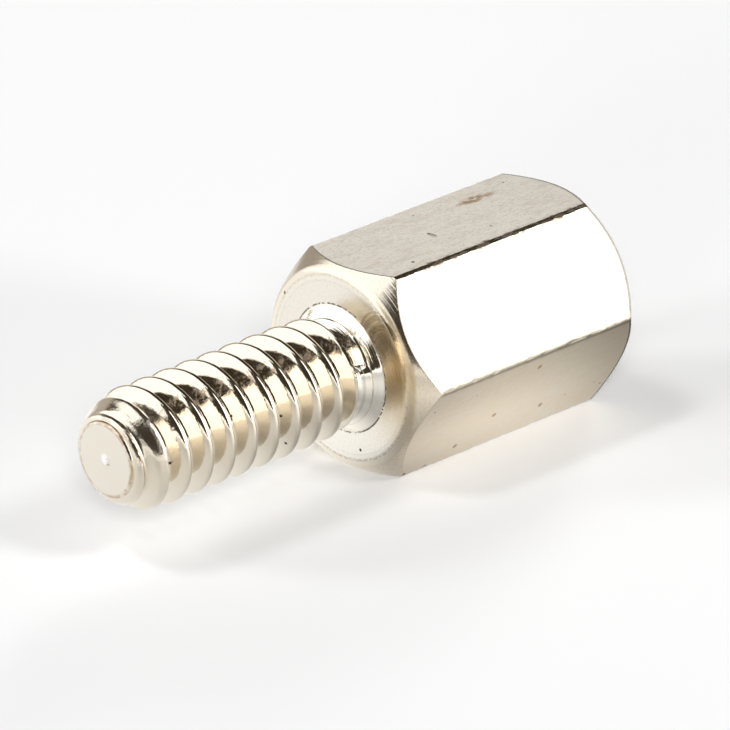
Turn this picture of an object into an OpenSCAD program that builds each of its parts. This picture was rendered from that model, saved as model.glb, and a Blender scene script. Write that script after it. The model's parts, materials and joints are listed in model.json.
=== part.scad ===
// Male-female hex standoff, turned in one piece from hex bar.
// Millimetres. The axis lies along X, the hex body reaches toward +X and the stud toward -X.
// The origin is on the axis, in the plane of the shoulder face. One flat of the hex faces down.

/* [Hex body] */
// Width of the hex bar across its flats (3/16 inch bar)
across_flats = 4.76; // [3.9:0.01:10]
// Length of the body from the shoulder face to the end face
body_len = 6.75; // [4:0.05:40]
// Radius along the six long edges of the hex bar
edge_radius = 0.13; // [0.02:0.01:0.4]

/* [Turned faces] */
// How far the edge of the flat shoulder face lies inside the flats
shoulder_face_inset = 0.26; // [0.2:0.01:0.6]
// Radial width of the soft edge break round the shoulder face
edge_break_width = 0.2; // [0.02:0.01:0.2]
// How far the edge break falls back from the shoulder face
edge_break_depth = 0.085; // [0.02:0.005:0.2]
// How far the edge of the flat end face lies inside the flats
end_face_inset = 0.105; // [0.02:0.005:0.5]
// Angle of the chamfers that cut the corners at both ends, from the plane of the faces
chamfer_angle = 45; // [20:1:60]

/* [Stud] */
// Major diameter of the threaded stud (4-40 thread)
stud_dia = 2.76; // [2:0.01:3.5]
// Length of the stud from the shoulder face to its flat tip
stud_len = 6.85; // [3:0.05:30]
// Radial height of the tapered lead at the tip
lead_height = 0.49; // [0.1:0.01:0.8]
// Length of that lead along the stud
lead_len = 0.56; // [0.2:0.02:1.5]
// How far the plain neck at the shoulder lies below the major diameter, radially
neck_relief = 0.18; // [0.02:0.01:0.3]
// Length of the plain neck between the thread and the shoulder
neck_len = 0.7; // [0.35:0.05:2]
// Radius of the fillet where the neck meets the shoulder face
root_fillet = 0.28; // [0.05:0.01:0.3]
// Diameter of the low pip left in the middle of the tip
pip_dia = 0.24; // [0.1:0.02:0.5]
// Height of that pip
pip_height = 0.04; // [0.02:0.01:0.05]

/* [Tapped hole] */
// Diameter of the tapping drill, which the thread crests in the hole keep (4-40 thread)
tap_drill_dia = 2.26; // [1.6:0.01:2.8]
// Metal left between the drill point and the plane of the shoulder
hole_floor = 1.2; // [0.6:0.1:3.5]
// Angle of the drill point at the bottom of the hole
drill_point_angle = 118; // [90:1:140]
// Radial width of the countersink at the mouth of the hole
countersink_width = 0.37; // [0.05:0.01:0.5]
// Full angle of the countersink
countersink_angle = 90; // [60:5:120]

/* [Hidden] */

// Facets of the preview. The turned surfaces are true cylinders and cones.
$fn = 96;
// Overlap that joins or cuts solids cleanly where they share a face
over = 0.2;

// Distance from the axis to a flat of the hex
flat_dist = across_flats / 2;
// Distance from the axis to the middle of the radius along an edge
edge_centre_dist = (flat_dist - edge_radius) / cos(30);
// The turned envelopes reach out past the corners of the bar
envelope_radius = across_flats;

shoulder_r = flat_dist - shoulder_face_inset;
break_r = shoulder_r + edge_break_width;
end_r = flat_dist - end_face_inset;
stud_r = stud_dia / 2;
tip_r = stud_r - lead_height;
neck_r = stud_r - neck_relief;
pip_r = pip_dia / 2;
// Radius of the sphere whose cap is the pip
pip_sphere_r = (pow(pip_r, 2) + pow(pip_height, 2)) / (2 * pip_height);
drill_r = tap_drill_dia / 2;
countersink_r = drill_r + countersink_width;
countersink_depth = countersink_width / tan(countersink_angle / 2);
drill_point_len = drill_r / tan(drill_point_angle / 2);

// How far a corner chamfer runs along the axis, from radius r out to the envelope
function chamfer_run(r) = (envelope_radius - r) * tan(chamfer_angle);

// Revolves a half section about the X axis. Its points are [radius, distance along X].
module turned() {
    rotate([0, 90, 0])
        rotate_extrude()
            children();
}

// Section of the hex bar, with its edges rounded, so that two flats end up level
module hex_section() {
    corners = [0 : 60 : 300];
    // The twelve points where the flats run into the edge radii
    polygon([
        for (a = corners, side = [-30, 30])
            [
                edge_centre_dist * cos(a) + edge_radius * cos(a + side),
                edge_centre_dist * sin(a) + edge_radius * sin(a + side)
            ]
    ]);
    for (a = corners)
        rotate(a)
            translate([edge_centre_dist, 0])
                circle(r = edge_radius, $fn = 48);
}

// Length of hex bar from the shoulder plane to the end plane
module hex_bar() {
    rotate([90, 0, 90])
        linear_extrude(height = body_len)
            hex_section();
}

// What facing and chamfering the shoulder leaves: flat face, edge break, corner chamfer
module shoulder_envelope() {
    turned()
        polygon([
            [0, 0],
            [shoulder_r, 0],
            [break_r, edge_break_depth],
            [envelope_radius, edge_break_depth + chamfer_run(break_r)],
            [envelope_radius, body_len + chamfer_run(0)],
            [0, body_len + chamfer_run(0)]
        ]);
}

// What facing and chamfering the other end leaves: flat face and corner chamfer
module end_envelope() {
    turned()
        polygon([
            [0, body_len],
            [end_r, body_len],
            [envelope_radius, body_len - chamfer_run(end_r)],
            [envelope_radius, -chamfer_run(0)],
            [0, -chamfer_run(0)]
        ]);
}

// Hex bar with both ends turned. The chamfer cones cut each flat in a curve.
module hex_body() {
    intersection() {
        hex_bar();
        shoulder_envelope();
        end_envelope();
    }
}

// Ring that rounds the corner between the neck and the shoulder face
module root_ring() {
    turned()
        difference() {
            translate([neck_r - over, -root_fillet])
                square([root_fillet + over, root_fillet + over]);
            translate([neck_r + root_fillet, -root_fillet])
                circle(r = root_fillet);
        }
}

// Stud at the major diameter of its thread, with the lead at the tip and the plain neck
module stud() {
    turned()
        polygon([
            [0, over],
            [0, -stud_len],
            [tip_r, -stud_len],
            [stud_r, lead_len - stud_len],
            [stud_r, -neck_len],
            [neck_r, neck_relief - neck_len],
            [neck_r, over]
        ]);
    root_ring();
    tip_pip();
}

// Low rounded pip in the middle of the tip
module tip_pip() {
    turned()
        intersection() {
            translate([0, pip_sphere_r - pip_height - stud_len])
                circle(r = pip_sphere_r);
            translate([0, -pip_height - stud_len])
                square([pip_r * 2, pip_height + over]);
        }
}

// Tapping drill hole with its drill point, and the countersink at its mouth
module tapped_hole() {
    turned()
        polygon([
            [0, hole_floor],
            [drill_r, hole_floor + drill_point_len],
            [drill_r, body_len - countersink_depth],
            [countersink_r, body_len],
            [countersink_r, body_len + over],
            [0, body_len + over]
        ]);
}

// The whole standoff is one piece of metal
module hex_standoff() {
    color("silver")
        difference() {
            union() {
                hex_body();
                stud();
            }
            tapped_hole();
        }
}

hex_standoff();
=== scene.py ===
import json
import math

import bmesh
import bpy
import numpy as np
from mathutils import Matrix, Vector, noise


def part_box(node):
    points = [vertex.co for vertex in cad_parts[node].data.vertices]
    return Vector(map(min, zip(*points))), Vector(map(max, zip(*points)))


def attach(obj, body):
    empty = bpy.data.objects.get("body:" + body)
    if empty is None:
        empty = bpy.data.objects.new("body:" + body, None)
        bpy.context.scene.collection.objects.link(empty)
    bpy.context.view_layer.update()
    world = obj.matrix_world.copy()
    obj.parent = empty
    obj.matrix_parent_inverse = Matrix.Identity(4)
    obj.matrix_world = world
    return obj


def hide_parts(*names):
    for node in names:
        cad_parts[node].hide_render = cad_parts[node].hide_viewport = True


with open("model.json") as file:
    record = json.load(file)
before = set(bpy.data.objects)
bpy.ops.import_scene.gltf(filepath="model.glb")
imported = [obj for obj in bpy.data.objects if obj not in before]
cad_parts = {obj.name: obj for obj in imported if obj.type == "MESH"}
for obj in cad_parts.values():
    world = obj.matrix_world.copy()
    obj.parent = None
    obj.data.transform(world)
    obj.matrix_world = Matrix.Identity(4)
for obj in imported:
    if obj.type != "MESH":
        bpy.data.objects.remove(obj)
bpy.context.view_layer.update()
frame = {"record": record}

# ---------------------------------------------------------------------------------------------
# Sizes, in millimetres. The piece is modelled in millimetres and brought to metres at the end.
# ---------------------------------------------------------------------------------------------
MM = 0.001
low, high = (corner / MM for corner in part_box("hex_standoff"))
mounts = {mount["name"]: mount for mount in frame["record"]["mounts"]}

# Hex body
FLAT = high.z                   # from the axis to a flat
BODY_END = high.x               # from the shoulder face to the end face
EDGE_RADIUS = 0.13              # along the six long edges
EDGE_CENTRE = (FLAT - EDGE_RADIUS) / math.cos(math.radians(30))
# Half the angle that a rounded edge takes up, seen from the axis
HALF_ROUND = math.atan2(EDGE_RADIUS * 0.5, EDGE_CENTRE + EDGE_RADIUS * math.cos(math.radians(30)))
FACE_R = FLAT - 0.26            # edge of the flat shoulder face
BREAK_R = FACE_R + 0.2          # edge of the soft break round it
BREAK_DEPTH = 0.085
END_R = FLAT - 0.105            # edge of the flat end face
# Radii left where turned faces meet each other and the flats
FACE_SOFTNESS = 0.6
BREAK_SOFTNESS = 0.15
CUT_SOFTNESS = 0.03
END_SOFTNESS = 0.04
# Wear
WORN_WIDTH = 0.055              # of the worn strip beside each long edge, as an angle round the axis
EDGE_LOSS = 0.002               # worn off all along the edges
KNOCK_DEPTH = 0.024             # of the knocks in them
WAVE_DEPTH = 0.0016             # of the slow waves in the flats
RIPPLE_DEPTH = 0.0005           # of the quicker ones

# Stud
STUD_R = mounts["stud"]["dims"]["r_mm"]
PITCH = 0.635
THREAD_TURN = -0.355            # where round the stud the thread starts, in turns
CREST_RADIUS = 0.08
ROOT_RADIUS = 0.08
FLANK_SLOPE = math.radians(60)  # of the flanks, from the axis
CREST_LOSS = 0.05               # how much lower the crests are where the relief begins
CREST_LOSS_RUN = 0.5            # how slowly that fades along the stud
PIP_HEIGHT = 0.04
PIP_R = 0.12
TIP = low.x + PIP_HEIGHT
TIP_R = 0.81                    # edge of the flat of the tip
TIP_RIM = 0.07                  # radius of its rounded rim
# How the tapered lead widens behind the rim, as distances from the tip and radii
LEAD = ((0.0, 0.87), (0.05, 0.93), (0.13, 1.02), (0.23, 1.08),
        (0.36, 1.155), (0.5, 1.25), (0.7, 1.33), (0.95, 1.4))
LEAD_BLEND = 0.03               # how softly the thread runs out on the lead
# Relief between the thread and the shoulder, as places along the axis and radii. It is cut wide
# below and at the back, and steep above, where the thread runs out into it.
NECK_WIDE = ((-0.84, 1.5), (-0.68, 1.345), (-0.53, 1.1), (-0.46, 1.075), (-0.38, 1.1),
             (-0.2, 1.265), (-0.18, 1.268), (-0.165, 1.262), (0.0, 1.475))
NECK_STEEP = ((-0.84, 1.5), (-0.68, 1.345), (-0.5, 1.0), (-0.42, 0.93), (-0.35, 0.925),
              (-0.19, 1.183), (-0.18, 1.187), (-0.168, 1.18), (0.0, 1.475))
NECK_START = -0.6               # from here to the shoulder there is only the relief
THREAD_FADE = (-0.58, -0.78)    # where the thread fades out into it
BURR_R = 1.487                  # fine burr round the relief
BURR_HEIGHT = 0.012

# Tapped hole
DRILL_R = mounts["tapped_hole"]["dims"]["r_mm"]
SINK_R = DRILL_R + 0.37
HOLE_DEPTH = 5.55
DRILL_POINT = 0.679             # length of the point that the drill leaves
INNER_THREAD_END = BODY_END - 4.4       # where the thread in the hole has faded out
INNER_THREAD_DEPTH = 0.29
INNER_ROOT_RADIUS = 0.06
# The radius of its crests that makes this thread just so deep
INNER_CREST_RADIUS = PITCH / 2 * math.sqrt(3) - INNER_THREAD_DEPTH - INNER_ROOT_RADIUS

# How finely the piece is divided
STUD_COLUMNS = 128
STUD_RINGS = 348
HOLE_COLUMNS = 96
HOLE_RINGS = 150
FLAT_COLUMNS = 33
EDGE_COLUMNS = 9
BODY_RINGS = 95
FILLET_STEPS = 4
SHARP_ANGLE = math.radians(35)  # edges turned further than this are shaded sharp


# ---------------------------------------------------------------------------------------------
# Modelling helpers
# ---------------------------------------------------------------------------------------------
def deselect_all():
    bpy.ops.object.select_all(action="DESELECT")


def link_mesh(name, points, edges, faces):
    """Makes an object from points, edges and faces."""
    mesh = bpy.data.meshes.new(name)
    mesh.from_pydata(points, edges, faces)
    piece = bpy.data.objects.new(name, mesh)
    bpy.context.collection.objects.link(piece)
    return piece


def spin_outline(name, outline, columns):
    """Turns a half section, given as points [x, radius], about the X axis."""
    deselect_all()
    lines = [(i, i + 1) for i in range(len(outline) - 1)]
    piece = link_mesh(name, [(x, 0, r) for x, r in outline], lines, [])
    bpy.context.view_layer.objects.active = piece
    piece.select_set(True)
    bpy.ops.object.mode_set(mode="EDIT")
    bpy.ops.mesh.select_all(action="SELECT")
    bpy.ops.mesh.spin(steps=columns, angle=math.tau, center=(0, 0, 0), axis=(1, 0, 0))
    bpy.ops.mesh.select_all(action="SELECT")
    bpy.ops.mesh.remove_doubles(threshold=1e-5)
    bpy.ops.object.mode_set(mode="OBJECT")
    return piece


def reshape_rings(piece, first, last, radius_at):
    """Gives points between two places along the axis the radius that radius_at(x, angle) works out."""
    place = np.empty(len(piece.data.vertices) * 3)
    piece.data.vertices.foreach_get("co", place)
    place = place.reshape(-1, 3)
    x, y, z = place.T
    radius = np.hypot(y, z)
    inside = (x > first) & (x < last)
    factor = np.where(inside, radius_at(x, np.arctan2(z, y)) / np.maximum(radius, 1e-6), 1)
    place[:, 1] *= factor
    place[:, 2] *= factor
    piece.data.vertices.foreach_set("co", place.ravel())
    piece.data.update()


def smooth(value, low_end, high_end):
    """0 up to low_end, 1 from high_end, and a soft step between them. It falls if they are reversed."""
    t = np.clip((value - low_end) / (high_end - low_end), 0, 1)
    return t * t * (3 - 2 * t)


def along(profile, places):
    """Radii of a profile, given as places and radii, at other places."""
    return np.interp(places, *zip(*profile))


def fillet(corner, before, after, radius):
    """Points that round a corner [x, radius] between two directions, in degrees."""
    turn = math.radians(after - before)
    before = math.radians(before)
    side = math.copysign(1, turn)
    run = radius * math.tan(abs(turn) / 2)
    start = (corner[0] - run * math.cos(before), corner[1] - run * math.sin(before))
    centre = (start[0] - side * radius * math.sin(before), start[1] + side * radius * math.cos(before))
    reach = side * radius
    angles = (before + turn * i / FILLET_STEPS for i in range(FILLET_STEPS + 1))
    return [(centre[0] + reach * math.sin(a), centre[1] - reach * math.cos(a)) for a in angles]


# ---------------------------------------------------------------------------------------------
# Stud
# ---------------------------------------------------------------------------------------------
def thread_form(offset, crest_radius, root_radius):
    """Depth below the crest at an offset along the axis from it: two arcs and the flank between."""
    crest_half = crest_radius * math.sin(FLANK_SLOPE)
    root_half = root_radius * math.sin(FLANK_SLOPE)
    from_crest = np.abs((offset / PITCH + 0.5) % 1 - 0.5) * PITCH
    from_root = PITCH / 2 - from_crest
    on_crest = np.clip(from_crest, 0, crest_half)
    on_flank = np.clip(from_crest - crest_half, 0, PITCH / 2 - crest_half - root_half)
    on_root = np.clip(from_root, 0, root_half)
    crest = crest_radius - np.sqrt(crest_radius ** 2 - on_crest ** 2)
    flank = on_flank * math.tan(FLANK_SLOPE)
    root = np.sqrt(root_radius ** 2 - on_root ** 2) - root_radius * math.cos(FLANK_SLOPE)
    return crest + flank + np.where(from_root < root_half, root, 0)


def lead_radius(x):
    """Radius of the rounded rim of the tip and of the tapered lead behind it."""
    behind = x - TIP
    rim = TIP_R + np.sqrt(np.maximum(TIP_RIM ** 2 - np.maximum(TIP_RIM - behind, 0) ** 2, 0))
    taper = along(LEAD, behind)
    return np.where(behind < TIP_RIM, np.minimum(rim, taper), taper)


def neck_radius(x, angle):
    """Radius of the relief: steep over the top and the near upper side, and wide elsewhere."""
    wide = along(NECK_WIDE, x)
    steep = along(NECK_STEEP, x)
    degrees = np.degrees(angle)
    return wide + (steep - wide) * smooth(degrees, 164, 154) * smooth(degrees, 30, 60)


def stud_radius(x, angle):
    """Radius of the finished stud: right-hand thread, lead and relief."""
    depth = thread_form(x - PITCH * (angle / math.tau + THREAD_TURN), CREST_RADIUS, ROOT_RADIUS)
    crests = STUD_R - CREST_LOSS * np.exp((np.minimum(x, NECK_START) - NECK_START) / CREST_LOSS_RUN)
    threaded = crests - depth * smooth(x, *THREAD_FADE)
    lead = lead_radius(x)
    run_out = 0.25 * LEAD_BLEND * np.exp(-np.abs(threaded - lead) / LEAD_BLEND)
    neck = neck_radius(x, angle)
    return np.where(x > NECK_START, neck, np.minimum(np.minimum(threaded, lead) - run_out, neck))


def stud():
    """Threaded stud with its pip, from the middle of the tip to the burr on the shoulder face."""
    ball = (PIP_R ** 2 + PIP_HEIGHT ** 2) / (2 * PIP_HEIGHT)
    dome = TIP - PIP_HEIGHT + ball
    pip = [(dome - ball * math.cos(math.asin(r / ball)), r) for r in np.linspace(0, PIP_R, 6)]
    disc = [(TIP, r) for r in (0.2, 0.4, 0.6, 0.75, TIP_R - 0.03, TIP_R - 0.01, TIP_R)]
    plain = [(x, 1.0) for x in np.linspace(TIP + 0.006, -0.002, STUD_RINGS)]
    burr = [(0, BURR_R - 0.012), (-BURR_HEIGHT, BURR_R), (0, BURR_R + 0.014)]
    face = [(0, r) for r in (1.54, 1.6, 1.7)]
    piece = spin_outline("stud", pip + disc + plain + burr + face, STUD_COLUMNS)
    reshape_rings(piece, TIP + 1e-3, -5e-4, stud_radius)
    return piece


# ---------------------------------------------------------------------------------------------
# Hex body. Its columns of points run from face to face over both chamfers, closer together on
# the edges, so that the chamfers cut the flats in their true curves.
# ---------------------------------------------------------------------------------------------
def from_edge(angle):
    """The angle between a direction in the YZ plane and the nearest long edge."""
    return abs((angle + math.pi / 6) % (math.pi / 3) - math.pi / 6)


def hex_reach(angle):
    """From the axis to the surface of the rounded hex bar, at an angle in the YZ plane."""
    beside = from_edge(angle)
    if beside < HALF_ROUND:
        across = EDGE_CENTRE * math.sin(beside)
        return EDGE_CENTRE * math.cos(beside) + math.sqrt(EDGE_RADIUS ** 2 - across ** 2)
    return FLAT / math.cos(math.pi / 6 - beside)


def body_columns():
    """Angles of the columns: a few over each rounded edge, more over each flat."""
    angles = []
    for corner in range(6):
        middle = corner * math.pi / 3
        flat_start = middle + HALF_ROUND
        flat_end = middle + math.pi / 3 - HALF_ROUND
        angles += [middle + HALF_ROUND * s for s in np.linspace(-1, 1, EDGE_COLUMNS)]
        angles += list(np.linspace(flat_start, flat_end, FLAT_COLUMNS)[1:-1])
    return angles


def body_stations(reach):
    """Points [x, radius] from face to face in one column, where the bar reaches that far out.

    The first two and the last two only keep the shading of the faces flat.
    """
    slope = math.degrees(math.atan2(BREAK_R - FACE_R, BREAK_DEPTH))
    front_corner = BREAK_DEPTH + reach - BREAK_R
    end_corner = BODY_END - (reach - END_R)
    front = fillet((0, FACE_R), 90, slope, FACE_SOFTNESS)
    front += fillet((BREAK_DEPTH, BREAK_R), slope, 45, BREAK_SOFTNESS)
    front += fillet((front_corner, reach), 45, 0, CUT_SOFTNESS)
    end = fillet((end_corner, reach), 0, -45, CUT_SOFTNESS)
    bar_start = front[-1][0]
    bar_end = end[0][0]
    shares = np.linspace(0, 1, BODY_RINGS)[1:-1]
    bar = [(bar_start + (bar_end - bar_start) * share, reach) for share in shares]
    end += fillet((BODY_END, END_R), -45, -90, END_SOFTNESS)
    return [(0, 1.9), (0, 2.0)] + front + bar + end + [(BODY_END, 2.1), (BODY_END, 1.95)]


def worn(x, r, angle):
    """Radius of a point of the drawn bar: edges slightly knocked, flats slightly wavy."""
    place = Vector((x, r * math.cos(angle), r * math.sin(angle)))
    clear = float(smooth(x, 0.5, 0.8) * smooth(x, BODY_END - 0.35, BODY_END - 0.6))
    edge = max(0.0, 1 - from_edge(angle) / WORN_WIDTH) * clear
    knocks = max(0.0, noise.fractal(place * 5.0, 0.7, 2.0, 3))
    waves = WAVE_DEPTH * (1 + noise.noise(place * 1.1)) + RIPPLE_DEPTH * (1 + noise.noise(place * 3.1))
    return r - edge * (EDGE_LOSS + KNOCK_DEPTH * knocks) - waves * float(smooth(x, 0.15, 0.7))


def hex_body():
    """Open tube of the body: one column of points for each angle, and a strip between each two."""
    angles = body_columns()
    columns = [[(x, worn(x, r, a), a) for x, r in body_stations(hex_reach(a))] for a in angles]
    points = [(x, r * math.cos(a), r * math.sin(a)) for column in columns for x, r, a in column]
    count = len(columns[0])
    faces = []
    for i in range(len(columns)):
        here = i * count
        beside = (i + 1) % len(columns) * count
        faces += [(here + k, here + k + 1, beside + k + 1, beside + k) for k in range(count - 1)]
    return link_mesh("body", points, [], faces)


# ---------------------------------------------------------------------------------------------
# Tapped hole
# ---------------------------------------------------------------------------------------------
def sink_radius(x):
    """Radius of the countersink, and of the drilled hole within it."""
    return np.maximum(DRILL_R, SINK_R - (BODY_END - x))


def hole_radius(x, angle):
    """Radius of the hole: its thread, which fades out inward, and the countersink."""
    # In a hole the form is turned over: the roots of the thread lie furthest out.
    depth = thread_form(x - PITCH * angle / math.tau, INNER_ROOT_RADIUS, INNER_CREST_RADIUS)
    fade = smooth(x, INNER_THREAD_END + 0.05, INNER_THREAD_END + 0.8)
    threaded = DRILL_R + (INNER_THREAD_DEPTH - depth) * fade
    return np.maximum(threaded, sink_radius(x))


def tapped_hole():
    """Blind tapped hole with its countersink, from a ring of the end face in to the drill point."""
    face = [(BODY_END, r) for r in (1.8, 1.7, 1.6, SINK_R + 0.01, SINK_R)]
    xs = np.linspace(BODY_END - 0.004, INNER_THREAD_END, HOLE_RINGS)
    bottom = BODY_END - HOLE_DEPTH
    drilled = [(INNER_THREAD_END - 0.1, DRILL_R), (bottom + DRILL_POINT, DRILL_R), (bottom, 0)]
    outline = face + [(x, sink_radius(x)) for x in xs] + drilled
    piece = spin_outline("hole", outline, HOLE_COLUMNS)
    reshape_rings(piece, INNER_THREAD_END - 0.01, BODY_END - 0.002, hole_radius)
    return piece


# ---------------------------------------------------------------------------------------------
# Whole piece
# ---------------------------------------------------------------------------------------------
def bridge_rims(piece, x):
    """Closes the flat ring between the two open rims that lie in the plane at x."""
    bpy.ops.object.mode_set(mode="EDIT")
    bpy.ops.mesh.select_all(action="DESELECT")
    shape = bmesh.from_edit_mesh(piece.data)
    for edge in shape.edges:
        edge.select_set(edge.is_boundary and all(abs(v.co.x - x) < 1e-4 for v in edge.verts))
    bmesh.update_edit_mesh(piece.data)
    bpy.ops.mesh.fill(use_beauty=True)
    bpy.ops.object.mode_set(mode="OBJECT")


def standoff():
    """The whole piece: body, stud and hole joined into one closed shape, in metres."""
    parts = [hex_body(), stud(), tapped_hole()]
    deselect_all()
    for part in parts:
        part.select_set(True)
    piece = parts[0]
    bpy.context.view_layer.objects.active = piece
    bpy.ops.object.join()
    piece.name = "machined_standoff"
    bridge_rims(piece, 0)
    bridge_rims(piece, BODY_END)
    bpy.ops.object.mode_set(mode="EDIT")
    bpy.ops.mesh.select_all(action="SELECT")
    bpy.ops.mesh.normals_make_consistent(inside=False)
    bpy.ops.object.mode_set(mode="OBJECT")
    piece.scale = (MM, MM, MM)
    bpy.ops.object.transform_apply(location=False, rotation=False, scale=True)
    bpy.ops.object.shade_smooth_by_angle(angle=SHARP_ANGLE)
    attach(piece, "root")
    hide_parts("hex_standoff")
    return piece


# ---------------------------------------------------------------------------------------------
# Shader maths
# ---------------------------------------------------------------------------------------------
class Value:
    """A socket on a node board. Ordinary arithmetic on it adds Math nodes."""

    def __init__(self, board, socket):
        self.board = board
        self.socket = socket

    def math(self, operation, *others):
        return self.board.add("ShaderNodeMath", {"operation": operation}, [self, *others])

    def __add__(self, other):
        return self.math("ADD", other)

    def __radd__(self, other):
        return self.math("ADD", other)

    def __sub__(self, other):
        return self.math("SUBTRACT", other)

    def __rsub__(self, other):
        return self.board.add("ShaderNodeMath", {"operation": "SUBTRACT"}, [other, self])

    def __mul__(self, other):
        return self.math("MULTIPLY", other)

    def __rmul__(self, other):
        return self.math("MULTIPLY", other)

    def __truediv__(self, other):
        return self.math("DIVIDE", other)

    def __pow__(self, other):
        return self.math("POWER", other)

    def __neg__(self):
        return self.math("MULTIPLY", -1)

    def __abs__(self):
        return self.math("ABSOLUTE")

    def at_least(self, other):
        """The greater of the two."""
        return self.math("MAXIMUM", other)

    def at_most(self, other):
        """The smaller of the two."""
        return self.math("MINIMUM", other)

    def rise(self, start, end):
        """0 up to start, 1 from end, and a soft step between them. A start above end falls instead."""
        if start > end:
            return 1 - self.rise(end, start)
        settings = {"interpolation_type": "SMOOTHSTEP"}
        inputs = {"Value": self, "From Min": start, "From Max": end}
        return self.board.add("ShaderNodeMapRange", settings, inputs)

    def band(self, start, end, soft):
        """1 between start and end, with soft borders of the given width."""
        return self.rise(start - soft / 2, start + soft / 2) * self.rise(end + soft / 2, end - soft / 2)


def oval(first, second):
    """1 where both values are 0, and softly less in every direction from there."""
    return (-(first * first + second * second)).math("EXPONENT")


def compass(sideways, forward):
    """Direction of a pair of values, in degrees: 0 is forward and 90 is sideways."""
    return sideways.math("ARCTAN2", forward) * (180 / math.pi)


class Board:
    """The node board of one material or world."""

    def __init__(self, owner):
        owner.use_nodes = True
        self.tree = owner.node_tree

    def add(self, kind, settings, inputs, output=0):
        """Adds a node: its settings are set first, then its sockets, by place or by name."""
        node = self.tree.nodes.new(kind)
        for name, setting in settings.items():
            setattr(node, name, setting)
        sockets = inputs.items() if isinstance(inputs, dict) else enumerate(inputs)
        for place, value in sockets:
            self.feed(node.inputs[place], value)
        return Value(self, node.outputs[output])

    def feed(self, socket, value):
        """Links a value to a socket, or sets a constant on it. A colour is three numbers."""
        if isinstance(value, Value):
            self.tree.links.new(value.socket, socket)
        elif isinstance(value, tuple) and socket.type == "RGBA":
            socket.default_value = (*value, 1)
        else:
            socket.default_value = value

    def supply(self, name, inputs):
        """Feeds sockets of a node that the board came with."""
        for socket, value in inputs.items():
            self.feed(self.tree.nodes[name].inputs[socket], value)

    def join(self, x, y, z):
        """A vector from its three parts."""
        return self.add("ShaderNodeCombineXYZ", {}, [x, y, z])

    def part(self, vector, axis):
        """One of the three parts of a vector."""
        return self.add("ShaderNodeSeparateXYZ", {}, [vector], axis)

    def place_in_mm(self):
        """Where a point lies on its object, along each axis."""
        place = self.add("ShaderNodeTexCoord", {}, {}, "Object")
        return [self.part(place, axis) / MM for axis in "XYZ"]

    def mix(self, share, first, second):
        """A colour between two colours, which are sockets 6 and 7 of the node, as the result is 2."""
        return self.add("ShaderNodeMix", {"data_type": "RGBA"}, {0: share, 6: first, 7: second}, 2)

    def lay(self, colour, layers):
        """Lays colours over a colour, each with its share, the lowest first."""
        for share, over in layers:
            colour = self.mix(share, colour, over)
        return colour


# ---------------------------------------------------------------------------------------------
# Finish
# ---------------------------------------------------------------------------------------------
# Bare metal, with painted light low on the shoulder and a painted highlight on the pip
NICKEL = (0.80, 0.735, 0.62)
TURNED_NICKEL = (0.82, 0.775, 0.69)     # whiter, where a tool has faced the metal
LOW_SHOULDER_PAINTED_LIGHT = (0.9, 0.86, 0.77)          # painted reflection of the bright floor, low on the shoulder
NECK_NICKEL = (0.99, 0.94, 0.83)
# Painted highlight: the pip near white
PIP_PAINTED_HIGHLIGHT = (0.99, 0.98, 0.96)
# Thin warm layers, painted shade and the painted reflection of the stud
FILM_AND_PAINTED_SHADE = (0.79, 0.67, 0.5)            # thin and warm on the top flat; painted shade on the lower flat, low on the chamfer and on the near side of the stud
# Colours of the painted reflection of the stud on the shoulder: gold higher up, browner lower down
REFLECTED_STUD_GOLD = (0.86, 0.68, 0.38)
REFLECTED_STUD_BROWN = (0.66, 0.5, 0.28)
# Stains and dirt; the rusty brown and the soot are also used for painted shade
RUST_AND_PAINTED_SHADE = (0.42, 0.24, 0.12)
RUST_STAIN = (0.56, 0.33, 0.14)
GREY_BROWN = (0.42, 0.36, 0.28)
DWELL_BROWN = (0.36, 0.27, 0.16)
WORN_BROWN = (0.36, 0.31, 0.24)
DARK_BROWN = (0.17, 0.11, 0.06)
DARK_GREY = (0.14, 0.125, 0.11)
SOOT_AND_PAINTED_SHADE = (0.05, 0.04, 0.032)

SIDE_TILT = 0.866               # sine of 60 degrees: how far the side flats are turned from the top one
# Places of single marks
REFLECTED_STUD_PLACE = (-1.95, 0.35)     # middle of the painted reflection of the stud on the shoulder, across and up
REFLECTED_STUD_REACH = (0.8, 1.35)       # how far it spreads, across and up
DWELL_POINT = (-1.52, 0.9)      # middle of the arcs that the tool left, across and up
DWELL_PLACE = (0.0, -1.15, 1.1)
CHATTER_PLACE = (0.25, -1.4, 2.05)
STAIN_PLACE = (4.83, 0.66, 2.38)
NICK_PLACE = (2.72, -0.18, 2.38)
# Low near side of the pip, where its shade is painted
PIP_SHADE_PLACE = (TIP, -0.1, -0.075)
BROWN_SPECKS = ((3.67, -2.515, -0.404), (4.4, -1.72, -1.78), (2.82, -1.9, -1.467),
                (1.91, -1.58, -2.02), (1.13, -1.41, -2.32))
DARK_SPECKS = ((0, -0.589, -1.796), (0.02, 1.75, 1.288), (0.5, -1.43, -2.28), (-2.524, -0.983, -0.696),
               (-4.022, -0.926, 0.405), (-2.685, -1.037, 0.011), (-5.881, -1.007, -0.075),
               (1.364, -1.006, 2.38))


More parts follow.
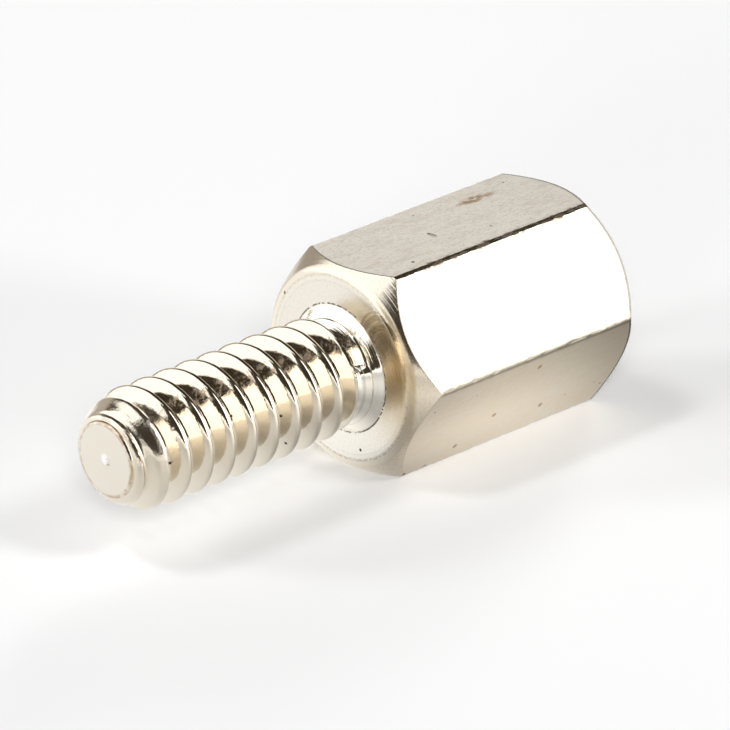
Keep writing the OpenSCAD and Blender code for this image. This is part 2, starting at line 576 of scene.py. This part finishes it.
class Metal:
    """The metal of the piece: where a point lies on it, its zones, and the patterns of its marks."""

    def __init__(self, board):
        self.board = board
        self.x, self.y, self.z = board.place_in_mm()
        self.radius = (self.y * self.y + self.z * self.z).math("SQRT")
        self.heading = compass(self.z, self.y)      # round the axis: 90 on top, 180 at the side edge
        self.depth = STUD_R - self.radius           # below the crests of the thread
        self.find_zones()
        self.lay_patterns()

    def find_zones(self):
        """Values that are 1 on a zone of the piece and 0 elsewhere, and distances from the chamfer cones."""
        x, y, z = self.x, self.y, self.z
        self.top_flat = z.rise(FLAT - 0.02, FLAT - 0.005)
        self.upper_flat = (y * -SIDE_TILT + z * 0.5).rise(FLAT - 0.02, FLAT - 0.005)
        self.lower_flat = (y * -SIDE_TILT - z * 0.5).rise(FLAT - 0.03, FLAT - 0.01)
        self.shoulder = x.band(-0.004, 0.01, 0.004) * self.radius.rise(BURR_R - 0.02, BURR_R)
        self.front_cut = x - (self.radius - BREAK_R) - BREAK_DEPTH
        self.end_cut = BODY_END - x - (self.radius - END_R)
        self.chamfer = self.front_cut.rise(0.03, 0.01) * x.rise(0.0, 0.02)
        self.long_edges = self.radius.rise(END_R + 0.15, END_R + 0.25)
        self.stud = x.rise(-0.004, -0.03)
        self.neck = x.rise(-0.5, -0.42) * self.stud
        self.lead = x.rise(TIP + 1.15, TIP + 0.7)
        self.tip = x.rise(TIP + 0.02, TIP + 0.005)
        self.pip = x.rise(TIP - 0.002, TIP - 0.02)

    def lay_patterns(self):
        """Cloudy patterns that several marks share, from wide to fine."""
        self.grain = self.noise((0.55, 7, 7), 4.0, 0.65)
        self.fine_grain = self.noise((2.2, 24, 24), 3.0, 0.6)
        self.clouds = self.noise((0.55, 1.3, 1.3), 3.0, 0.6)
        self.mottle = self.noise((4.5, 7, 7), 5.0, 0.75)
        self.freckles = self.noise((13, 17, 17), 3.0, 0.7)

    def noise(self, scales, detail, roughness):
        """Cloudy values round 0.5, with a number of clouds per millimetre along each axis."""
        stretched = self.board.join(self.x * scales[0], self.y * scales[1], self.z * scales[2])
        inputs = {"Vector": stretched, "Scale": 1.0, "Detail": detail, "Roughness": roughness}
        return self.board.add("ShaderNodeTexNoise", {}, inputs)

    def tool_lines(self, across, detail):
        """Uneven values round 0.5, in lines as a tool leaves them, counted by the value across them.

        The lines run round the axis when that is a radius, round the stud when it is a place along
        it, and round a point when it is the distance from there.
        """
        inputs = {"W": across, "Scale": 1.0, "Detail": detail, "Roughness": 0.6}
        return self.board.add("ShaderNodeTexNoise", {"noise_dimensions": "1D"}, inputs)

    def spot(self, centre, size, stretch=(1, 1, 1)):
        """Small soft spot of a given radius round a place, longer or shorter along each axis."""
        dx = (self.x - centre[0]) / stretch[0]
        dy = (self.y - centre[1]) / stretch[1]
        dz = (self.z - centre[2]) / stretch[2]
        return (dx * dx + dy * dy + dz * dz).math("SQRT").rise(size, size * 0.45)

    def spots(self, centres, size):
        """Soft spots of one size round several places."""
        together = self.spot(centres[0], size)
        for centre in centres[1:]:
            together = together.at_least(self.spot(centre, size))
        return together

    def specks(self, per_mm, size, share, seed):
        """Scattered specks: how close they lie, how large they are, and how many places have one."""
        shifted = self.board.join(self.x * per_mm + seed, self.y * per_mm, self.z * per_mm)
        inputs = {"Vector": shifted, "Scale": 1.0}
        distance = self.board.add("ShaderNodeTexVoronoi", {"feature": "F1"}, inputs, "Distance")
        cell = self.board.add("ShaderNodeTexVoronoi", {"feature": "F1"}, inputs, "Color")
        pick = self.board.part(cell, "X")
        return distance.rise(size, size * 0.5) * pick.rise(share, share - 0.02)


def rust_stain(metal):
    """Small rust stain on the top flat."""
    uneven = metal.noise((3.1, 8.5, 8.5), 4.0, 0.75).rise(0.4, 0.54)
    return metal.spot(STAIN_PLACE, 0.7, (1.0, 0.33, 1.0)) * uneven


def painted_stud_reflection(metal):
    """Painted reflection of the stud, in gold, on the shoulder beside the relief and on the edge break
    there.
    """
    beside = (metal.y - REFLECTED_STUD_PLACE[0]) / REFLECTED_STUD_REACH[0]
    above = (metal.z - REFLECTED_STUD_PLACE[1]) / REFLECTED_STUD_REACH[1]
    place = oval(beside, above) * metal.radius.rise(BURR_R, BURR_R + 0.06)
    uneven = 0.85 + 1.6 * (metal.clouds - 0.5) + 0.9 * (metal.mottle - 0.5)
    return place * metal.x.rise(BREAK_DEPTH + 0.06, BREAK_DEPTH) * uneven


def dwell_arcs(metal):
    """Arcs on the shoulder where the tool dwelt, round a point on the edge break."""
    beside = metal.y - DWELL_POINT[0]
    above = metal.z - DWELL_POINT[1]
    from_dwell = (beside * beside + above * above) ** 0.5
    return metal.tool_lines(from_dwell * 9, 3.0) * metal.spot(DWELL_PLACE, 0.8) * metal.shoulder


def painted_root_shade(metal):
    """Painted shade in the roots of the thread, nearly all of it in a strip above the near side."""
    strip = 0.03 + 0.97 * metal.heading.rise(108, 118) * metal.heading.rise(138, 130)
    uneven = metal.noise((6, 6, 6), 3.0, 0.7).rise(0.5, 0.66)
    root_shade = metal.stud * (1 - metal.tip) * strip * uneven
    return root_shade * metal.depth.rise(0.0, 0.12) * (1 - 0.6 * metal.lead)


def dark_specks(metal):
    """Dark specks, scattered and single, and dirt along the burr round the relief."""
    scattered = metal.specks(2.6, 0.075, 0.16, 7.7) * (1 - metal.upper_flat)
    fine = metal.specks(5.0, 0.03, 0.22, 4.4) * metal.shoulder * metal.z.rise(0.2, -0.4)
    burr = metal.x.band(-0.03, 0.004, 0.004) * abs(metal.radius - BURR_R).rise(0.03, 0.004)
    burr_dirt = burr * metal.noise((4, 4, 4), 3.0, 0.7).rise(0.44, 0.54)
    specks = scattered.at_least(metal.spots(DARK_SPECKS, 0.05))
    return specks.at_least(fine * 0.6).at_least(burr_dirt * 0.95)


def broken_dark_edge(metal):
    """Broken dark line along the edge between the top flat and the near upper one."""
    broken = metal.noise((2.5, 8, 8), 3.0, 0.7).rise(0.46, 0.6)
    return metal.long_edges * abs(metal.heading - 120).rise(3.0, 1.0) * metal.x.rise(0.6, 1.2) * broken


class Marks:
    """Marks that change the polish or the relief as well as the colour."""

    def __init__(self, metal):
        self.stain = rust_stain(metal)
        self.reflected_stud = painted_stud_reflection(metal)
        self.dwell = dwell_arcs(metal)
        self.root_shade = painted_root_shade(metal)
        self.nick = metal.spot(NICK_PLACE, 0.17, (0.35, 1.0, 1.0))
        self.dark = dark_specks(metal).at_least(self.nick * 0.35)
        self.ridge = broken_dark_edge(metal)


def bar_layers(metal, marks):
    """Whiter turned faces, painted light low on the shoulder, painted shade on the lower flat and low on the
    chamfer, a greyer far upper chamfer, and streaks, freckles and tarnish on the bar.
    """
    z, top_flat, chamfer = metal.z, metal.top_flat, metal.chamfer
    faced = metal.shoulder.at_least(metal.tip).at_least(top_flat * 0.75)
    uneven = 1.3 * (metal.clouds - 0.5) + 1.5 * (metal.mottle - 0.5) + 1.2 * (metal.freckles - 0.5)
    lower_flat_shade = metal.lower_flat * (0.9 + uneven)
    streaks = (metal.grain - 0.45).at_least(0) * 0.5 + (metal.mottle - 0.46).at_least(0) * 2.6
    freckled = (top_flat + 0.35 * metal.shoulder + 0.6 * chamfer) * metal.freckles.rise(0.46, 0.7)
    tarnish = metal.noise((1.6, 3.4, 3.4), 7.0, 0.78).rise(0.44, 0.74) + 0.25 * metal.x.rise(4.2, 6.2)
    return [
        (faced, TURNED_NICKEL),
        # Painted reflection of the bright floor: the shoulder lighter low down
        (metal.shoulder * z.rise(-0.5, -1.6), LOW_SHOULDER_PAINTED_LIGHT),
        # Painted shade: the lower flat warmer and darker, unevenly
        (lower_flat_shade.at_least(0), FILM_AND_PAINTED_SHADE),
        # Painted shade: the chamfer darker low down, over a faint even warm tone
        (chamfer * (0.05 + 0.45 * z.rise(1.5, 0.5)), FILM_AND_PAINTED_SHADE),
        # Greyer on the far upper part of the chamfer
        (chamfer * metal.y.rise(0.2, 0.9) * z.rise(0.5, 1.0) * 0.5, GREY_BROWN),
        (top_flat * streaks, FILM_AND_PAINTED_SHADE),
        (freckled * 0.42, GREY_BROWN),
        (top_flat * tarnish * 0.42, GREY_BROWN),
        (marks.stain * 0.68, RUST_STAIN),
    ]


def shoulder_layers(metal, marks):
    """Painted reflection of the stud in gold with fine arcs in it, and the marks of the tool beside it."""
    tint = metal.board.mix(metal.z.rise(0.8, 1.5), REFLECTED_STUD_BROWN, REFLECTED_STUD_GOLD)
    arcs = (metal.tool_lines(metal.radius * 13, 3.0) - 0.5).at_least(0) * metal.z.rise(-0.2, 0.5)
    return [
        # Painted reflection of the stud
        (marks.reflected_stud.at_least(0), tint),
        (marks.reflected_stud * arcs * 3.0, GREY_BROWN),
        (marks.dwell.rise(0.34, 0.54) * 0.6, DWELL_BROWN),
    ]


def tip_layers(metal):
    """Brown broken rim, soft clouds, and the pip with a painted highlight and painted shade."""
    rim = metal.x.rise(TIP + 0.06, TIP + 0.02) * metal.radius.rise(TIP_R - 0.03, TIP_R)
    return [
        # Brown broken line along the rounded rim of the tip
        (rim * metal.noise((5, 5, 5), 3.0, 0.7).rise(0.36, 0.56) * 0.75, RUST_AND_PAINTED_SHADE),
        (metal.tip * (0.3 + 0.9 * (metal.clouds - 0.5)), NICKEL),
        # Painted highlight: the pip near white
        (metal.pip, PIP_PAINTED_HIGHLIGHT),
        # Painted shade on the low near side of the pip
        (metal.spot(PIP_SHADE_PLACE, 0.07, (1, 1, 0.45)) * 0.7, GREY_BROWN),
    ]


def break_line_layers(metal):
    """Broken line where the shoulder face turns into the edge break, stronger low down."""
    line = (metal.radius - FACE_R).band(-0.02, 0.05, 0.03) * metal.x.rise(0.09, 0.07)
    line = line * (0.5 + 0.5 * metal.z.rise(0.3, -0.5))
    return [(line * metal.freckles.rise(0.4, 0.6) * 0.6, GREY_BROWN)]


def thread_layers(metal, marks):
    """Bright relief with thin rings, painted shade on the near side of the stud, and painted shade in the
    roots of the thread.
    """
    rings = metal.tool_lines(metal.x * 11, 3.0).rise(0.54, 0.6)
    low_side = metal.stud * (1 - metal.tip) * (1 - metal.neck) * abs(metal.heading).rise(135, 165)
    return [
        (metal.neck * 0.9, NECK_NICKEL),
        (metal.neck * rings * 0.28, GREY_BROWN),
        # Painted shade on the near side of the stud
        (low_side * 0.35, FILM_AND_PAINTED_SHADE),
        # Painted shade in the roots of the thread
        (marks.root_shade * 0.75, RUST_AND_PAINTED_SHADE),
    ]


def speck_layers(metal, marks):
    """Brown specks on the lower flat, faint scratches on the flats above, and dark specks."""
    specks = metal.specks(2.2, 0.085, 0.6, 3.1) * 0.5
    specks = specks.at_least(metal.spots(BROWN_SPECKS, 0.085) * (0.4 + metal.mottle))
    lines = abs(metal.noise((0.35, 2.6, 2.6), 1.0, 0.4) - 0.52).rise(0.006, 0.002)
    lines = lines * metal.noise((0.7, 0.9, 0.9), 1.0, 0.5).rise(0.5, 0.56)
    scratches = lines * (metal.upper_flat + 0.6 * metal.top_flat)
    return [
        ((metal.lower_flat * specks).at_most(0.9), RUST_AND_PAINTED_SHADE),
        (scratches * 0.3, GREY_BROWN),
        (marks.dark, SOOT_AND_PAINTED_SHADE),
    ]


def edge_layers(metal, marks):
    """Dark lines along the cuts and the long edges of the bar, with painted shade along the upper edge of
    the front chamfer and in the roots of the thread on top.
    """
    x, z, heading = metal.x, metal.z, metal.heading
    front_edge_shade = metal.front_cut.band(0.005, 0.03, 0.006) * x.rise(0.125, 0.145) * z.rise(-0.3, 0.4)
    end_rim = metal.end_cut.rise(0.08, 0.04) * (1 - metal.stud)
    side_edge = metal.long_edges * abs(heading).rise(177.3, 178.6) * x.rise(0.5, 0.6)
    top_root_shade = x.band(TIP + 1.2, -1.0, 0.15) * metal.depth.rise(0.3, 0.4)
    top_root_shade = top_root_shade * heading.rise(50, 70) * heading.rise(112, 98)
    return [
        # Painted shade along the upper edge of the front chamfer
        ((front_edge_shade * (0.3 + 0.7 * metal.mottle)).at_most(0.85), SOOT_AND_PAINTED_SHADE),
        (end_rim * (0.55 + 0.5 * metal.mottle), DARK_GREY),
        (marks.ridge * 0.9, DARK_BROWN),
        ((side_edge * (0.15 + metal.mottle)).at_most(1), WORN_BROWN),
        # Painted shade in the roots of the thread on top
        (top_root_shade * 0.85, SOOT_AND_PAINTED_SHADE),
    ]


def roughness(metal, marks):
    """How finely the metal is polished."""
    rough = 0.06 + 0.1 * metal.lead + 0.16 * metal.shoulder + 0.12 * metal.chamfer + 0.12 * metal.tip
    rough = rough + 0.06 * metal.top_flat - 0.12 * metal.pip + 0.3 * marks.dark + 0.25 * marks.stain
    return rough + 0.12 * marks.root_shade + 0.05 * metal.grain + 0.1 * marks.reflected_stud


def relief(metal, marks):
    """Fine relief, in millimetres."""
    shoulder, chamfer, tip = metal.shoulder, metal.chamfer, metal.tip
    drawn = (metal.grain - 0.5) * 0.0014 + (metal.fine_grain - 0.5) * 0.0005 + (metal.mottle - 0.5) * 0.0006
    drawn = drawn * (1 - metal.stud) * (1 - shoulder) * (1 - chamfer)
    ripple = (metal.noise((5, 5, 5), 3.0, 0.55) - 0.5) * 0.0026 * (1 - shoulder * 0.5)
    turning = (metal.tool_lines(metal.radius * 30, 2.0) - 0.5) * 0.0022 * (shoulder + tip * 0.6)
    turning = turning + marks.dwell * 0.012
    turning = turning + (metal.tool_lines(metal.x * 12, 3.0) - 0.5) * 0.014 * metal.neck
    chatter = 0.0025 + 0.012 * metal.spot(CHATTER_PLACE, 0.9)       # stronger on the near top corner
    cut_marks = (metal.tool_lines(metal.radius * 16, 2.0) - 0.5) * chatter * chamfer
    stud_marks = (metal.noise((9, 9, 9), 3.0, 0.6) - 0.5) * (0.0016 * metal.stud + 0.005 * metal.lead)
    pits = -0.004 * marks.dark - 0.012 * marks.nick
    return drawn + ripple + turning + cut_marks + stud_marks * (1 - tip) + pits


def nickel():
    """Bright nickel plating, slightly warm, over drawn bar and turned faces."""
    material = bpy.data.materials.new("nickel_plating")
    board = Board(material)
    metal = Metal(board)
    marks = Marks(metal)
    layers = bar_layers(metal, marks) + shoulder_layers(metal, marks) + tip_layers(metal)
    layers += break_line_layers(metal) + thread_layers(metal, marks)
    layers += speck_layers(metal, marks) + edge_layers(metal, marks)
    bump = {"Height": relief(metal, marks) * MM, "Distance": 1.0, "Strength": 1.0}
    board.supply("Principled BSDF", {
        "Base Color": board.lay(NICKEL, layers),
        "Metallic": 1 - 0.5 * marks.root_shade.at_most(1) - 0.3 * marks.dark - 0.35 * marks.ridge,
        "Roughness": roughness(metal, marks),
        "Normal": board.add("ShaderNodeBump", {}, bump),
    })
    return material


# ---------------------------------------------------------------------------------------------
# Floor, surroundings, lamps and camera
# ---------------------------------------------------------------------------------------------
FLOOR_WHITE = 0.93              # how much light the floor gives back
LAMP_DISTANCE = 2.0
LAMP_SIZE = 0.45
# Soft lamps of the floor: name, heading, height and the brightness that each adds there
LAMPS = (
    ("key", -140, 28, 0.22),
    ("front_low", -120, 9, 0.044),
    ("right", 160, 45, 0.185),
    ("right_low", 160, 9, 0.085),
    ("left_low", -80, 9, 0.089),
    ("left_high", -40, 65, 0.173),
    ("back_left", -40, 28, 0.096),
    ("back_right_low", 60, 17, 0.077),
)
CAMERA_HEADING = -137.93
CAMERA_HEIGHT = 23.13
CAMERA_ROLL = -2.01
CAMERA_DISTANCE = 179.4         # in millimetres, like the place it looks at
CAMERA_LOOKS_AT = (0.429, -0.359, 0.036)
CAMERA_LENS = 403.0
WARM = (1, 0.8, 0.58)
WHITE = (1, 1, 1)


def toward(heading, height):
    """Direction, as a vector, of a heading from +Y over +X and a height above the floor, in degrees."""
    azimuth = math.radians(heading)
    elevation = math.radians(height)
    level = math.cos(elevation)
    return Vector((math.sin(azimuth) * level, math.cos(azimuth) * level, math.sin(elevation)))


def hold(name, data, place, turn):
    """Puts a lamp or a camera in its place."""
    holder = bpy.data.objects.new(name, data)
    bpy.context.collection.objects.link(holder)
    holder.location = place
    holder.rotation_mode = "QUATERNION"
    holder.rotation_quaternion = turn
    return holder


def sheet(name):
    """A large flat sheet under the piece, with a board for its own material."""
    deselect_all()
    bpy.ops.mesh.primitive_plane_add(size=2, location=(0, 0, low.z * MM))
    plane = bpy.context.object
    plane.name = name
    material = bpy.data.materials.new(name)
    plane.data.materials.append(material)
    return plane, Board(material)


def floor():
    """The white floor, for all but the plating."""
    plane, board = sheet("floor")
    plane.visible_glossy = False
    board.supply("Principled BSDF", {"Base Color": (FLOOR_WHITE,) * 3, "Roughness": 0.9})


def mirrored_floor():
    """Glowing sheet that the plating mirrors in place of the floor, with painted shade round the piece and
    painted light below the lower flat.
    """
    plane, board = sheet("mirrored_floor")
    plane.visible_camera = False
    plane.visible_diffuse = False
    plane.visible_shadow = False
    x, y, _ = board.place_in_mm()

    def patch(centre_x, centre_y, half_x, half_y, depth):
        """Soft oval patch of painted shade, or of painted light where it is added."""
        return oval((x - centre_x) / half_x, (y - centre_y) / half_y) * depth

    light = 1.14 + 0.32 * y.rise(-3, -12)
    light = light - patch(-0.9, -1.7, 4.4, 1.4, 0.68)       # painted shade in front of the stud
    light = light - patch(2.2, -4.0, 5.5, 1.6, 0.51)        # painted shade in front of the body
    light = light - patch(8.8, -2.0, 3.4, 6.0, 0.75)        # painted shade beyond the end of the body
    light = light - patch(-13, -14, 10, 13, 0.85)           # painted shade in front of the tip
    light = light + patch(1.8, -1.9, 3.4, 0.5, 0.3)         # painted light thrown down by the lower flat
    glow = board.add("ShaderNodeEmission", {}, {"Strength": light.at_least(0.3)})
    board.supply("Material Output", {"Surface": glow})


def studio():
    """White cards in front of the piece and to its left, a grey wall behind it, and dark gaps between."""
    world = bpy.data.worlds.new("studio")
    board = Board(world)
    world.cycles_visibility.diffuse = False
    direction = board.add("ShaderNodeTexCoord", {}, {}, "Generated")
    x, y, z = (board.part(direction, axis) for axis in "XYZ")
    heading = compass(x, y)
    height = z.math("ARCSINE") * (180 / math.pi)
    # where a direction meets a ceiling one unit up
    level = z.at_least(0.02)
    along_ceiling = x / level
    across_ceiling = y / level
    # card in front and to the right, up to its slanted top edge
    top_edge = across_ceiling + 0.62 * (along_ceiling - 0.37).at_least(0).at_most(0.8)
    front_card = heading.rise(94, 99) * top_edge.rise(-0.46, -0.54) * 2.45
    # card to the left and behind, which reaches up to the dark gap overhead
    left_limit = (heading + (height - 50).at_least(0) * 2).rise(-93, -90)
    left_card = left_limit * heading.rise(-12, -15) * along_ceiling.rise(-0.07, -0.13) * height.rise(75, 72)
    low_corner = heading.rise(-68, -76) * height.rise(12, 8)
    left_card = left_card * (1 - 0.72 * low_corner) * 1.45
    # grey wall behind
    wall = heading.rise(-15, -12) * heading.rise(54, 48) * height.rise(38, 28)
    wall = wall * (0.47 + 0.34 * heading.rise(8, 40))
    light = 0.05 + front_card.at_least(left_card).at_least(wall)
    board.supply("Background", {"Strength": light, "Color": board.mix(light.rise(0.05, 0.9), WARM, WHITE)})
    bpy.context.scene.world = world
    bpy.context.scene.view_settings.view_transform = "Standard"


def floor_lamp(name, heading, height, share):
    """Square soft lamp for the floor, not mirrored in the plating. Its share is what it adds there."""
    lamp = bpy.data.lights.new(name, "AREA")
    lamp.energy = share * (math.pi * LAMP_DISTANCE) ** 2 / (FLOOR_WHITE * math.sin(math.radians(height)))
    lamp.size = LAMP_SIZE
    direction = toward(heading, height)
    holder = hold(name, lamp, direction * LAMP_DISTANCE, direction.to_track_quat("Z", "Y"))
    holder.visible_glossy = False


def camera():
    """Camera with a long lens, out to the left and above, looking at the middle of the piece."""
    data = bpy.data.cameras.new("camera")
    data.lens = CAMERA_LENS
    data.sensor_width = 36
    data.clip_start = 0.01
    data.clip_end = 10
    back = toward(CAMERA_HEADING, CAMERA_HEIGHT)
    roll = Matrix.Rotation(math.radians(CAMERA_ROLL), 3, "Z").to_quaternion()
    place = Vector(CAMERA_LOOKS_AT) * MM + back * (CAMERA_DISTANCE * MM)
    bpy.context.scene.camera = hold("camera", data, place, (-back).to_track_quat("-Z", "Y") @ roll)


camera()
floor()
mirrored_floor()
studio()
for lamp in LAMPS:
    floor_lamp(*lamp)
piece = standoff()
piece.data.materials.clear()
piece.data.materials.append(nickel())
